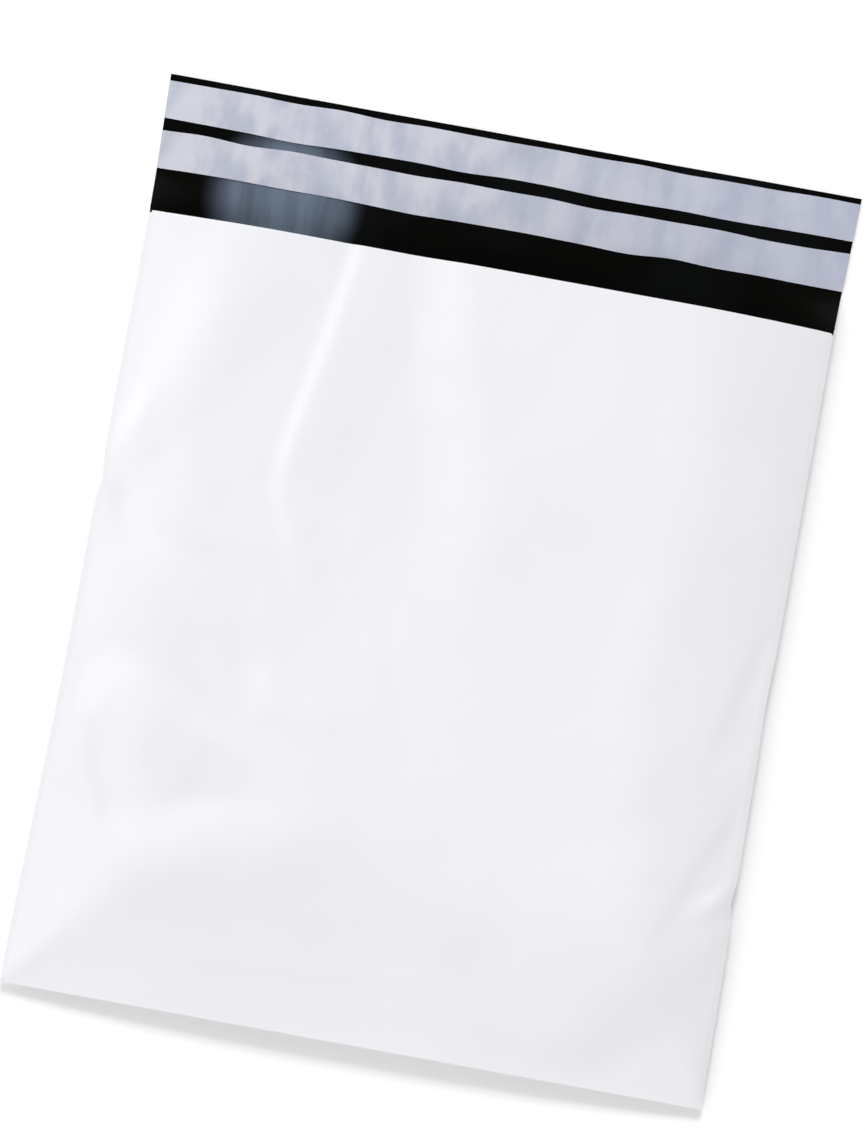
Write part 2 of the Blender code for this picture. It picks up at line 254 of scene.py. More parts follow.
def soft_folds(x, y, over_welds):
    """Sum over the folds of height (1 - (distance / reach)^2)^2. They die out where the film is under
    DIE_OUT over the welds."""
    total = np.zeros(x.shape)
    for route in SOFT_FOLDS.values():
        distance, left, values = beside(in_metres(route), x, y)
        reach = np.where(left, values[..., 1], values[..., 2])
        total += values[..., 0] * np.maximum(0.0, 1.0 - (distance / reach) ** 2) ** 2
    return total * ease(over_welds / DIE_OUT)


# %% [markdown]
# ## The whole front, with the welds drawn in
#
# Film that rises over something has to find its length somewhere, so the side welds are drawn in by a
# couple of millimetres, and a little more at a few notches. Two layers of smooth noise add the faint
# unevenness that all handled film has.

# %% The drawn front
SIDE_DRAW, SIDE_DRAW_RUN = 0.0024, 0.166
NOTCHES = ((-1, 0.255, 0.0016, 0.009), (1, 0.102, 0.0013, 0.008), (1, 0.200, 0.0008, 0.022))
# (height, cells along, cells across, seed)
UNEVENNESS = ((0.00010, 12, 10, 3), (0.00005, 26, 22, 5))
WELD_CALM, FOLD_CALM = 0.012, 0.016


def draw_in(across, y):
    """How far a weld is drawn in: an ease from the bottom up, and a Gaussian for each notch."""
    drawn = SIDE_DRAW * ease(y / SIDE_DRAW_RUN)
    for side, place, depth, half_length in NOTCHES:
        drawn = drawn + (side * across > 0.0) * depth * np.exp(-(((y - place) / half_length) ** 2))
    return drawn


def resample(values, rows, columns):
    """A grid of values on more rows and columns, by Catmull-Rom cubics along one axis, then the other."""
    for axis, count in ((0, rows), (1, columns)):
        values = np.moveaxis(values, axis, 0)
        last = len(values) - 1
        padded = np.concatenate([2 * values[:1] - values[1:2], values, 2 * values[-1:] - values[-2:-1]])
        place = np.linspace(0.0, last, count + 1)
        cell = np.minimum(place.astype(int), last - 1)
        t = (place - cell).reshape((-1,) + (1,) * (values.ndim - 1))
        p0, p1, p2, p3 = (padded[cell + k] for k in range(4))
        bend = 2 * p0 - 5 * p1 + 4 * p2 - p3 + t * (3 * (p1 - p2) + p3 - p0)
        values = p1 + 0.5 * t * (p2 - p0 + t * bend)
        values = np.moveaxis(values, 0, axis)
    return values


def smooth_noise(shape, cells, seed):
    """Seeded random numbers on a coarse grid, resampled to the fine one."""
    coarse = np.random.default_rng(seed).standard_normal((cells[0] + 1, cells[1] + 1, 1))
    return resample(coarse, shape[0] - 1, shape[1] - 1)[..., 0]


def surface_grid(start, end, rows, columns):
    """A grid of places: from start to end down the rows, and from -1 to 1 along the columns."""
    down, over = np.linspace(start, end, rows + 1), np.linspace(-1.0, 1.0, columns + 1)
    return np.meshgrid(down, over, indexing="ij")


def drawn_front(rows, columns):
    """Points of the front's outer face, from the bottom fold up to the mouth edge."""
    along, across = surface_grid(0.0, 1.0, rows, columns)
    flat_x, y = across * HALF_WIDTH, along * BODY_PLAN_LENGTH
    x = flat_x - across * draw_in(across, y)
    over = over_welds_height(flat_x, x, y)
    fold_part = np.maximum(0.0, 1.0 - y / BOTTOM_RUN) ** BOTTOM_FADE
    z = weld_height(y) + (fold_height(flat_x) - CORNER_LIFT) * fold_part + over + soft_folds(x, y, over)
    calm = ease((1.0 - np.abs(across)) * HALF_WIDTH / WELD_CALM) * ease(y / FOLD_CALM)
    for height, cells_along, cells_across, seed in UNEVENNESS:
        z = z + calm * height * smooth_noise(z.shape, (cells_along, cells_across), seed)
    return np.stack([x, FOLD_Y + y, z], axis=-1)


# %% [markdown]
# ## Relaxing the drawn front like film
#
# A drawn height field looks too regular. Film doesn't stretch, so where it has a little more length than
# it needs it buckles into fine ripples that lean on the larger folds. A cloth simulation could do this,
# but the film would slide off the drawn folds. The relaxation below is the same idea, held to the
# drawing: each grid edge is brought to its own length plus four in a thousand, bending is smoothed, and
# every point is pulled softly back to where it was drawn. It runs on three grids, coarse to fine.

# %% Film relaxation
ROWS, COLUMNS = 160, 136
SPARE_LENGTH = 1.004
# (how much finer than the first grid, iterations, bending share)
LEVELS = ((1, 60, 0.010), (2, 80, 0.012), (4, 120, 0.015))
HOLD_PLAN, HOLD_HEIGHT, WEIGHT, LOWEST, TINY = 0.05, 0.012, 0.0015 * MM, 0.001, 1e-12


def ends(array, down, right):
    """The two ends of all grid edges that step this far down and right, as views of the array."""
    rows, columns = array.shape[:2]
    first = array[max(0, -down):rows - max(0, down), max(0, -right):columns - max(0, right)]
    second = array[max(0, down):rows - max(0, -down), max(0, right):columns - max(0, -right)]
    return first, second


def pull_edges(points, free, down, right, lengths, share):
    """Moves the two ends of each edge so that it nears its length, every other row or column at a time."""
    for parity in (0, 1):
        pick = (slice(parity, None, 2), slice(None)) if down else (slice(None), slice(parity, None, 2))
        a, b = (side[pick] for side in ends(points, down, right))
        free_a, free_b = (side[pick] for side in ends(free, down, right))
        step = b - a
        length = np.sqrt((step * step).sum(-1))
        size = share * (length - lengths[pick]) / np.maximum(length * (free_a + free_b), TINY)
        pull = size[..., None] * step
        a += free_a[..., None] * pull
        b -= free_b[..., None] * pull


def laplace(values):
    """Each point less the mean of its four neighbours, with the border rows repeated."""
    p = np.pad(values, ((1, 1), (1, 1), (0, 0)), mode="edge")
    return values - 0.25 * (p[:-2, 1:-1] + p[2:, 1:-1] + p[1:-1, :-2] + p[1:-1, 2:])


def relax(points, drawn, iterations, bending):
    """Lets the film settle: weight, edge lengths, bending, and a soft pull back to the drawn surface."""
    free = np.ones(points.shape[:2])
    free[:, 0] = free[:, -1] = free[0] = 0.0
    points[free == 0.0] = drawn[free == 0.0]
    edges = []
    for down, right, share in ((0, 1, 1.0), (1, 0, 1.0), (1, 1, 0.25), (1, -1, 0.25)):
        a, b = ends(drawn, down, right)
        edges.append((down, right, np.linalg.norm(b - a, axis=-1) * SPARE_LENGTH, share))
    lowest = drawn[..., 2] - LOWEST
    for _ in range(iterations):
        points[..., 2] -= WEIGHT * free
        for down, right, lengths, share in edges:
            pull_edges(points, free, down, right, lengths, share)
        points -= bending * laplace(laplace(points)) * free[..., None]
        points[..., :2] += HOLD_PLAN * (drawn - points)[..., :2] * free[..., None]
        points[..., 2] += HOLD_HEIGHT * (drawn - points)[..., 2] * free
        points[..., 2] = np.maximum(points[..., 2], lowest)
    return points


# %% The relaxed front
front = drawn_front(ROWS // 4, COLUMNS // 4)
for finer, iterations, bending in LEVELS:
    rows, columns = ROWS // 4 * finer, COLUMNS // 4 * finer
    front = relax(resample(front, rows, columns), drawn_front(rows, columns), iterations, bending)
drawn = drawn_front(ROWS, COLUMNS)
print(f"front: {front.shape[0]} by {front.shape[1]} points, up to {front[..., 2].max() / MM:.1f} mm high, "
      f"moved up to {np.abs(front - drawn).max() / MM:.2f} mm by relaxing")

# %% [markdown]
# ## The back and the flap
#
# The back lies flat on the surface and turns up to the welds and the bottom fold. The flap is a single
# free layer. Its two edges come down from the welds' height within the first couple of centimetres, and
# then it lies on the surface in long low waves, which is what makes a black glossy film look like film.
# The CAD's flap is flat there, so this one lies off it by 0.4 mm at the median and 1.4 mm at the most.

# %% The back and the flap as surfaces
SIDE_TURN_UP, BOTTOM_TURN_UP = 0.052, 0.070
FLAP_ROWS, FLAP_SETTLE = 28, 0.022
# (height, waves along the flap's width, slant of the wave, where it starts as a share of a turn)
FLAP_WAVES = ((0.00045, 2.3, 0.5, 0.10), (0.00025, 5.1, -0.8, 0.35), (0.00012, 9.7, 0.6, 0.70))
WAVES_START = 0.012
BACK_RIPPLE, RIPPLE_FULL_AT, RIPPLE_CELLS, RIPPLE_SEED = 0.00035, 0.002, (30, 26), 11
BACK_CALM, BACK_FOLD_CALM, BACK_MOUTH_CALM = 0.010, 0.012, 8.0


def back_surface():
    """Points of the back's outer face: flat, with squared shares turning it up to its edges. The ripple
    is noise times that turned-up height, so the flat part stays on the surface."""
    along, across = surface_grid(0.0, 1.0, ROWS, COLUMNS)
    flat_x, y = across * HALF_WIDTH, along * BODY_PLAN_LENGTH
    side_part = weld_height(y) * np.maximum(0.0, 1.0 - (HALF_WIDTH - np.abs(flat_x)) / SIDE_TURN_UP) ** 2
    bottom_share = np.maximum(0.0, 1.0 - y / BOTTOM_TURN_UP) ** 2
    z = side_part + (fold_height(flat_x) - side_part) * bottom_share
    calm = ease((1.0 - np.abs(across)) * HALF_WIDTH / BACK_CALM) * ease(y / BACK_FOLD_CALM)
    calm = calm * ease((1.0 - along) * BACK_MOUTH_CALM)
    noise = smooth_noise(z.shape, RIPPLE_CELLS, RIPPLE_SEED)
    z = z + BACK_RIPPLE * calm * np.minimum(z / RIPPLE_FULL_AT, 1.0) * noise
    return np.stack([flat_x - across * draw_in(across, y), FOLD_Y + y, np.maximum(z, 0.0)], axis=-1)


def flap_height(x, past_mouth):
    """Height of the flap's underside: a sum of slanting sine waves over the flat surface, none below it."""
    waves = np.zeros(np.broadcast(x, past_mouth).shape)
    for height, count, slant, start in FLAP_WAVES:
        turn = count * (x / BAG_WIDTH + slant * past_mouth / BAG_WIDTH) + start
        waves = waves + height * 0.5 * (1.0 + np.sin(2.0 * math.pi * turn))
    return waves * ease(past_mouth / WAVES_START)


def flap_surface():
    """Points of the flap: its edges settle from the welds' height, and then it lies in its waves."""
    past, across = surface_grid(0.0, FLAP_LENGTH, FLAP_ROWS, COLUMNS)
    at_mouth = back_surface()[-1]
    x = at_mouth[:, 0] + (across * HALF_WIDTH - at_mouth[:, 0]) * past / FLAP_LENGTH
    z = at_mouth[:, 2] * (1.0 - ease(past / FLAP_SETTLE)) + flap_height(x, past)
    return np.stack([x, MOUTH_Y + past, z], axis=-1)


# %% [markdown]
# ## One folded sheet
#
# The film is one grid of points, as the real bag is one sheet: down the front from the mouth edge, round
# the bottom fold, up the back and along the flap. Along the welds the front and the back share their
# points. Each corner of the bottom is split from the corner itself, so that no two triangles lie on the
# same three points. A UV map holds each point's place on the flat sheet, in metres.

# %% The film mesh
def folded_sheet(name, surfaces):
    """One mesh from the stacked rows of the three surfaces, with the front's and the back's side points
    joined, sharp edges along the fold, the welds and the free edges, and the flat sheet as its UV map."""
    front_down, back_up, flap_out = surfaces[0][::-1], surfaces[1][1:], surfaces[2][1:]
    points = np.concatenate([front_down, back_up, flap_out])
    row_count, column_count = points.shape[:2]
    index = np.arange(row_count * column_count).reshape(row_count, column_count)
    index[ROWS + 1:2 * ROWS + 1, [0, -1]] = index[ROWS - 1::-1, [0, -1]]
    used, vertex = np.unique(index, return_inverse=True)
    vertex = vertex.reshape(index.shape)
    quads = np.stack([vertex[:-1, :-1], vertex[1:, :-1], vertex[1:, 1:], vertex[:-1, 1:]], axis=-1)

    row, column = (part.ravel() for part in np.indices(quads.shape[:2]))
    corner = np.isin(row, (ROWS - 1, ROWS)) & np.isin(column, (0, column_count - 2))
    faces = quads.reshape(-1, 4)[~corner].tolist()
    tips = {(ROWS - 1, True): 1, (ROWS - 1, False): 2, (ROWS, True): 0, (ROWS, False): 3}
    for face, at_row, at_column in zip(quads.reshape(-1, 4)[corner], row[corner], column[corner]):
        a, b, c, d = np.roll(face, -tips[(at_row, at_column == 0)]).tolist()
        faces += [(a, b, c), (a, c, d)]

    mesh = bpy.data.meshes.new(name)
    mesh.from_pydata(points.reshape(-1, 3)[used].tolist(), [], faces)

    group = np.zeros(len(used), int)
    for bit, members in enumerate((vertex[ROWS], vertex[:, 0], vertex[:, -1], vertex[0], vertex[-1])):
        group[members.ravel()] |= 1 << bit
    edge = np.empty(len(mesh.edges) * 2, int)
    mesh.edges.foreach_get("vertices", edge)
    shared = group[edge[0::2]] & group[edge[1::2]]
    sharp = mesh.attributes.new("sharp_edge", "BOOLEAN", "EDGE")
    sharp.data.foreach_set("value", shared > 0)

    run = np.concatenate([
        np.linspace(0.0, BAG_LENGTH, ROWS + 1),
        BAG_LENGTH + np.linspace(0.0, BAG_LENGTH, ROWS + 1)[1:],
        2.0 * BAG_LENGTH + np.linspace(0.0, FLAP_LENGTH, FLAP_ROWS + 1)[1:],
    ])
    width = np.linspace(-HALF_WIDTH, HALF_WIDTH, column_count)
    flat_place = np.stack(np.broadcast_arrays(width[None, :], run[:, None]), axis=-1).reshape(-1, 2)[used]
    loop_vertex = np.empty(len(mesh.loops), int)
    mesh.loops.foreach_get("vertex_index", loop_vertex)
    flat_map = mesh.uv_layers.new(name="flat_sheet")
    flat_map.uv.foreach_set("vector", flat_place[loop_vertex].ravel())
    mesh.shade_smooth()
    mesh.update()
    return mesh


film_mesh = folded_sheet("film", (front, back_surface(), flap_surface()))
print(f"film: {len(film_mesh.vertices)} vertices, {len(film_mesh.polygons)} faces")

# %% [markdown]
# ## The film's thickness and its two colours
#
# The mesh so far is the outer face. Solidify gives it 70 microns inwards, the CAD's gauge, and its
# material offset puts the second material on the inner face, as the two-colour film has it. Here that
# means white outside and black inside, and the flap, which lies inside up, shows black.
#
# Real film is never quite smooth or quite even. It has a fine crinkle from handling, and soft patches of
# tone and of duller gloss. Several finishes here share these two effects, so each is one node group with
# its own sizes set where it is used. The side weld is a third group, for the white film alone.

# %% Node helpers
def node(tree, kind, at=(0, 0), **settings):
    """Adds a node. Settings that name a socket set its value, and the others set the node's properties."""
    made = tree.nodes.new(kind)
    made.location = at
    for key, value in settings.items():
        if hasattr(made, key):
            setattr(made, key, value)
        else:
            made.inputs[key.replace("_", " ")].default_value = value
    return made


def reckon(tree, operation, at, second=None):
    """A Math node. A number given as second is set as its second value."""
    made = node(tree, "ShaderNodeMath", at, operation=operation)
    if second is not None:
        made.inputs[1].default_value = second
    return made


def smooth_range(tree, at, from_low, from_high, to_low, to_high):
    """A Map Range node that eases from the first pair of values to the second."""
    ends_named = {"From_Min": from_low, "From_Max": from_high, "To_Min": to_low, "To_Max": to_high}
    return node(tree, "ShaderNodeMapRange", at, interpolation_type="SMOOTHSTEP", **ends_named)


def wire(tree, *pairs):
    """Links each (from node, its socket, to node, its socket)."""
    for source, output, target, socket in pairs:
        tree.links.new(source.outputs[output], target.inputs[socket])


def group(name, inputs, outputs):
    """A shader node group with these sockets, each (name, socket type, default)."""
    made = bpy.data.node_groups.new(name, "ShaderNodeTree")
    for socket_name, kind, default in inputs:
        made.interface.new_socket(socket_name, in_out="INPUT", socket_type=kind).default_value = default
    for socket_name, kind in outputs:
        made.interface.new_socket(socket_name, in_out="OUTPUT", socket_type=kind)
    return made, node(made, "NodeGroupInput", (-900, 0)), node(made, "NodeGroupOutput", (700, 0))


# %% Shared effect: the crinkle of handled film
def crinkle_group():
    """Height from two noises, a broad one and a fine one with a soft crease line where it passes its
    middle value: height = broad share x broad + fine share x |fine - 0.5|."""
    tree, given, out = group(
        "film_crinkle",
        [("Broad", "NodeSocketFloat", 0.4), ("Fine", "NodeSocketFloat", 0.2)],
        [("Height", "NodeSocketFloat")],
    )
    place = node(tree, "ShaderNodeTexCoord", (-900, 300))
    broad = node(tree, "ShaderNodeTexNoise", (-650, 300), Scale=42.0, Detail=2.0, Roughness=0.5)
    fine = node(
        tree, "ShaderNodeTexNoise", (-650, 50), Scale=130.0, Detail=3.0, Roughness=0.55, Distortion=0.6,
    )
    middle = reckon(tree, "SUBTRACT", (-450, 50), 0.5)
    crease = reckon(tree, "ABSOLUTE", (-300, 50))
    broad_part = reckon(tree, "MULTIPLY", (-100, 300))
    fine_part = reckon(tree, "MULTIPLY", (-100, 50))
    total = reckon(tree, "ADD", (200, 150))
    wire(
        tree,
        (place, "Object", broad, "Vector"), (place, "Object", fine, "Vector"),
        (fine, "Fac", middle, 0), (middle, 0, crease, 0),
        (broad, "Fac", broad_part, 0), (given, "Broad", broad_part, 1),
        (crease, 0, fine_part, 0), (given, "Fine", fine_part, 1),
        (broad_part, 0, total, 0), (fine_part, 0, total, 1), (total, 0, out, "Height"),
    )
    return tree


crinkle = crinkle_group()
print("group", crinkle.name)


# %% Shared effect: cloudy patches
def clouds_group():
    """A mask of soft patches: one noise, stretched by the given scale, taken from Low to High as 0 to 1."""
    tree, given, out = group(
        "soft_clouds",
        [("Scale", "NodeSocketFloat", 20.0), ("Low", "NodeSocketFloat", 0.4),
         ("High", "NodeSocketFloat", 0.6), ("Vector", "NodeSocketVector", (0.0, 0.0, 0.0))],
        [("Mask", "NodeSocketFloat")],
    )
    noise = node(tree, "ShaderNodeTexNoise", (-500, 0), Detail=3.0, Roughness=0.55, Distortion=0.3)
    spread = node(tree, "ShaderNodeMapRange", (-200, 0), interpolation_type="SMOOTHSTEP")
    wire(
        tree,
        (given, "Scale", noise, "Scale"), (given, "Vector", noise, "Vector"), (noise, "Fac", spread, "Value"),
        (given, "Low", spread, "From Min"), (given, "High", spread, "From Max"),
        (spread, "Result", out, "Mask"),
    )
    return tree


clouds = clouds_group()
print("group", clouds.name)


# %% The side weld's mask
def weld_group():
    """A mask that is 1 on the weld, from its inner line out to the film's side edge. It reads the flat
    sheet's place across: the weld starts where |u| passes half the width less the weld's width."""
    width, mask = ("Width", "NodeSocketFloat", 0.003), ("Mask", "NodeSocketFloat")
    tree, given, out = group("side_weld", [width], [mask])
    place = node(tree, "ShaderNodeUVMap", (-900, 200), uv_map="flat_sheet")
    parts = node(tree, "ShaderNodeSeparateXYZ", (-700, 200))
    across = reckon(tree, "ABSOLUTE", (-500, 200))
    inward = reckon(tree, "SUBTRACT", (-300, 200))
    inward.inputs[0].default_value = HALF_WIDTH
    step = node(
        tree, "ShaderNodeMapRange", (100, 100), interpolation_type="SMOOTHSTEP", To_Min=1.0, To_Max=0.0,
    )
    inner = reckon(tree, "MULTIPLY", (-100, -100), 0.75)
    wire(
        tree,
        (place, "UV", parts, "Vector"), (parts, "X", across, 0), (across, 0, inward, 1),
        (inward, 0, step, "Value"),
        (given, "Width", inner, 0), (inner, 0, step, "From Min"), (given, "Width", step, "From Max"),
        (step, "Result", out, "Mask"),
    )
    return tree


weld = weld_group()
print("group", weld.name)


# %% [markdown]
# ## The white outside of the film
#
# White polyethylene is a satin surface, a little cool in tone. A single white would do from far off. Up
# close it needs the crinkle in its gloss, faint clouds in its tone, and the pressed, slightly greyer band
# of the side weld, where two layers were melted into one.

# %% White film
WELD_WIDTH, WELD_GREY_SHARE, WELD_PRESSED_SHARE = 0.0032, 0.35, 0.6


def principled(name, colour, roughness, ior=1.5):
    """A material with a Principled BSDF at these plain values, and its node tree."""
    made = bpy.data.materials.new(name)
    made.use_nodes = True
    shader = made.node_tree.nodes["Principled BSDF"]
    shader.inputs["Base Color"].default_value = (*colour, 1.0)
    shader.inputs["Roughness"].default_value = roughness
    shader.inputs["IOR"].default_value = ior
    return made, made.node_tree, shader


def placed_group(tree, which, at, **values):
    """A shared group placed in a material with its own values."""
    made = node(tree, "ShaderNodeGroup", at)
    made.node_tree = which
    for key, value in values.items():
        made.inputs[key].default_value = value
    return made


def colour_mix(tree, at, first, second):
    """A Mix node between two colours."""
    made = node(tree, "ShaderNodeMix", at, data_type="RGBA")
    made.inputs["A"].default_value, made.inputs["B"].default_value = (*first, 1.0), (*second, 1.0)
    return made


def white_film():
    made, tree, shader = principled("white_film", (0.87, 0.88, 0.91), 0.38)
    place = node(tree, "ShaderNodeTexCoord", (-1300, 0))
    tone = placed_group(tree, clouds, (-900, 300), Scale=9.0, Low=0.35, High=0.65)
    whites = colour_mix(tree, (-650, 300), (0.890, 0.895, 0.928), (0.909, 0.913, 0.945))
    band = placed_group(tree, weld, (-900, 0), Width=WELD_WIDTH)
    band_share = reckon(tree, "MULTIPLY", (-650, 60), WELD_GREY_SHARE)
    banded = node(tree, "ShaderNodeMix", (-400, 250), data_type="RGBA")
    banded.inputs["B"].default_value = (0.84, 0.85, 0.87, 1.0)
    gloss = placed_group(tree, clouds, (-900, -250), Scale=26.0, Low=0.30, High=0.70)
    rough = node(tree, "ShaderNodeMapRange", (-400, -100), To_Min=0.42, To_Max=0.54)
    crinkled = placed_group(tree, crinkle, (-900, -500), Broad=0.30, Fine=0.35)
    pressed = reckon(tree, "SUBTRACT", (-650, -450))
    pressed_share = reckon(tree, "MULTIPLY", (-800, -650), WELD_PRESSED_SHARE)
    bump = node(tree, "ShaderNodeBump", (-400, -450), Strength=0.35, Distance=0.0002)
    wire(
        tree,
        (place, "Object", tone, "Vector"), (tone, "Mask", whites, "Factor"),
        (whites, "Result", banded, "A"), (band, "Mask", band_share, 0), (band_share, 0, banded, "Factor"),
        (banded, "Result", shader, "Base Color"),
        (place, "Object", gloss, "Vector"), (gloss, "Mask", rough, "Value"),
        (rough, "Result", shader, "Roughness"), (crinkled, "Height", pressed, 0),
        (band, "Mask", pressed_share, 0), (pressed_share, 0, pressed, 1),
        (pressed, 0, bump, "Height"), (bump, "Normal", shader, "Normal"),
    )
    return made


white = white_film()
print("material", white.name, len(white.node_tree.nodes), "nodes")

# %% [markdown]
# ## The black inside of the film
#
# The black layer scatters almost no light, so nearly all that shows of it is gloss. A bluish grey patch
# on the flap near the left end of the mouth is painted into the colour as a reflection: a painted sheen,
# placed by its distance from a point and streaked in soft bars. It is painted here as a haze on the film,
# placed by its distance from a point, though it may be a soft reflection.

# %% Black film
# Where the painted sheen sits and how far it reaches, then the streaks in it and the faint random tone.
SHEEN_PLACE, SHEEN_REACH, FAINT_SHARE = (-0.108, 0.177, 0.0), (0.020, 0.043), 0.012
BARS_STRETCH, BAR_SHARE, BETWEEN_BARS = (1.0, 0.12, 1.0), 0.35, 0.65


def black_film():
    made, tree, shader = principled("black_film", (0.006, 0.0065, 0.006), 0.30, 1.40)
    shader.inputs["Specular IOR Level"].default_value = 0.15
    place = node(tree, "ShaderNodeTexCoord", (-1500, 0))
    faint = placed_group(tree, clouds, (-1200, 300), Scale=14.0, Low=0.46, High=0.66)
    faint_share = reckon(tree, "MULTIPLY", (-950, 300), FAINT_SHARE)
    away = node(tree, "ShaderNodeVectorMath", (-1200, 0), operation="DISTANCE")
    away.inputs[1].default_value = SHEEN_PLACE
    # Painted reflection: the bluish grey sheen fades with distance from a point near the left end of the
    # mouth.
    painted_sheen = smooth_range(tree, (-950, 0), *SHEEN_REACH, 1.0, 0.0)
    bars_place = node(tree, "ShaderNodeMapping", (-1300, -150))
    bars_place.inputs["Scale"].default_value = BARS_STRETCH
    bars = placed_group(tree, clouds, (-1100, -150), Scale=62.0, Low=0.34, High=0.62)
    bar_share = reckon(tree, "MULTIPLY_ADD", (-900, -150))
    bar_share.inputs[1].default_value, bar_share.inputs[2].default_value = BAR_SHARE, BETWEEN_BARS
    barred = reckon(tree, "MULTIPLY", (-750, -50))
    # The larger of the faint random tone and the painted sheen sets the colour and the roughness.
    tone_and_sheen = reckon(tree, "MAXIMUM", (-700, 200))
    blacks = colour_mix(tree, (-500, 300), (0.0022, 0.0025, 0.0018), (0.160, 0.205, 0.275))
    rough = node(tree, "ShaderNodeMapRange", (-500, 0), To_Min=0.26, To_Max=0.44)
    crinkled = placed_group(tree, crinkle, (-900, -300), Broad=0.45, Fine=0.30)
    bump = node(tree, "ShaderNodeBump", (-500, -300), Strength=0.4, Distance=0.0003)
    wire(
        tree,
        (place, "Object", faint, "Vector"), (faint, "Mask", faint_share, 0), (faint_share, 0, tone_and_sheen, 0),
        (place, "Object", away, 0), (away, "Value", painted_sheen, "Value"),
        (place, "Object", bars_place, "Vector"), (bars_place, "Vector", bars, "Vector"),
        (bars, "Mask", bar_share, 0), (painted_sheen, "Result", barred, 0), (bar_share, 0, barred, 1),
        (barred, 0, tone_and_sheen, 1),
        (tone_and_sheen, 0, blacks, "Factor"), (blacks, "Result", shader, "Base Color"),
        (tone_and_sheen, 0, rough, "Value"), (rough, "Result", shader, "Roughness"),
        (crinkled, "Height", bump, "Height"), (bump, "Normal", shader, "Normal"),
    )
    return made


black = black_film()
print("material", black.name, len(black.node_tree.nodes), "nodes")

# %% The film as a piece
film = bpy.data.objects.new("film", film_mesh)
bpy.context.scene.collection.objects.link(film)
film_mesh.materials.append(white)
film_mesh.materials.append(black)
wall = film.modifiers.new("wall", "SOLIDIFY")
wall.thickness, wall.offset, wall.use_even_offset, wall.material_offset = FILM_GAUGE, -1.0, True, 1
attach(film, "root")
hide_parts("mailer_film")
print("film:", wall.thickness / MM, "mm thick")

# %% [markdown]
# ## The two seals
#
# Each seal is a bead of adhesive that was laid on the flap's inner face and covered with a strip of
# release film. The strips reach from one side edge of the flap to the other, and they follow its waves,
# because they are stuck to it. A strip is a narrow grid that takes its height from the flap, plus a small
# swell of its own. Solidify gives each its gauge, upwards.

# %% Strips that follow the flap
LINER_WIDTH, LINER_GAUGE, ADHESIVE_WIDTH, ADHESIVE_GAUGE = 0.019, 0.00006, 0.013, 0.0001
FLAP_MARGIN, SEAL_GAP, LAY_GAP, LINER_STRAY = 0.0035, 0.006, 0.00003, 0.00035
SHIPPING_Y = FLAP_EDGE_Y - FLAP_MARGIN - LINER_WIDTH / 2.0
RETURN_Y = SHIPPING_Y - LINER_WIDTH - SEAL_GAP
STRIP_COLUMNS, STRIP_ROWS, STRAY_CELLS, SWELL_CELLS = 220, 12, (2, 16), (3, 34)
GUM_SWELL, LINER_SWELL, LINER_CLEAR = 0.00001, 0.00022, 0.00002


def strip_mesh(name, centre_y, width, lift, swell, seed):
    """A strip across the flap, flush with its side edges. Height = the flap's, the film's gauge, the lift,
    and the swell times smooth noise. The long edges stray from straight by LINER_STRAY or so."""
    share, across = surface_grid(-0.5, 0.5, STRIP_ROWS, STRIP_COLUMNS)
    stray = smooth_noise(share.shape, STRAY_CELLS, seed) * LINER_STRAY
    y = centre_y + share * width + stray * np.abs(share) * 2.0
    x = across * (HALF_WIDTH - draw_in(across, BODY_PLAN_LENGTH) * (1.0 - (y - MOUTH_Y) / FLAP_LENGTH))
    noise = smooth_noise(share.shape, SWELL_CELLS, seed + 1)
    z = flap_height(x, y - MOUTH_Y) + FILM_GAUGE + lift + swell * ease(noise * 0.5 + 0.5)
    points = np.stack([x, y, z], axis=-1)
    index = np.arange(points[..., 0].size).reshape(points.shape[:2])
    quads = np.stack([index[:-1, :-1], index[:-1, 1:], index[1:, 1:], index[1:, :-1]], axis=-1).reshape(-1, 4)
    mesh = bpy.data.meshes.new(name)
    mesh.from_pydata(points.reshape(-1, 3).tolist(), [], quads.tolist())
    flat_place = np.stack([across * HALF_WIDTH, share * width], axis=-1).reshape(-1, 2)
    loop_vertex = np.empty(len(mesh.loops), int)
    mesh.loops.foreach_get("vertex_index", loop_vertex)
    mesh.uv_layers.new(name="flat_strip").uv.foreach_set("vector", flat_place[loop_vertex].ravel())
    border = np.ones(index.shape, bool)
    border[1:-1, 1:-1] = False
    edge = np.empty(len(mesh.edges) * 2, int)
    mesh.edges.foreach_get("vertices", edge)
    sharp = mesh.attributes.new("sharp_edge", "BOOLEAN", "EDGE")
    sharp.data.foreach_set("value", border.ravel()[edge].reshape(-1, 2).all(axis=1))
    mesh.shade_smooth()
    return mesh


def strip_piece(name, centre_y, width, lift, gauge, swell, seed, finish):
    """The strip as an object, thickened upwards, with its finish."""
    mesh = strip_mesh(name, centre_y, width, lift, swell, seed)
    mesh.materials.append(finish)
    piece = bpy.data.objects.new(name, mesh)
    bpy.context.scene.collection.objects.link(piece)
    wall = piece.modifiers.new("wall", "SOLIDIFY")
    wall.thickness, wall.offset = gauge, 1.0
    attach(piece, "root")
    print(f"{name}: {width / MM:.0f} mm wide, its middle at y {centre_y:.4f}")
    return piece


# %% [markdown]
# ## The finish of the release strips
#
# Release film is thin and milky, and the black flap behind it makes it a cool grey. It is mottled in soft
# bars along the strip. That could be made with real translucency over the black, but a painted mottle is
# simpler, and nothing behind it ever moves. Both liners are drawn darker and cooler towards their right
# end than at their left: that grading is painted shade. In the picture both liners read darker at their
# right end than at their left, so the tone is graded that way. That may be the light there.

# %% Peel liner and adhesive
MOTTLE_STRETCH, FLECK_SHARE = (1.0, 0.45, 1.0), 0.25
# Where along the strip the painted shade grades in, and how strong it gets at the right end.
SHADE_PLACES, SHADE_SHARE = (-0.12, 0.18), 0.55


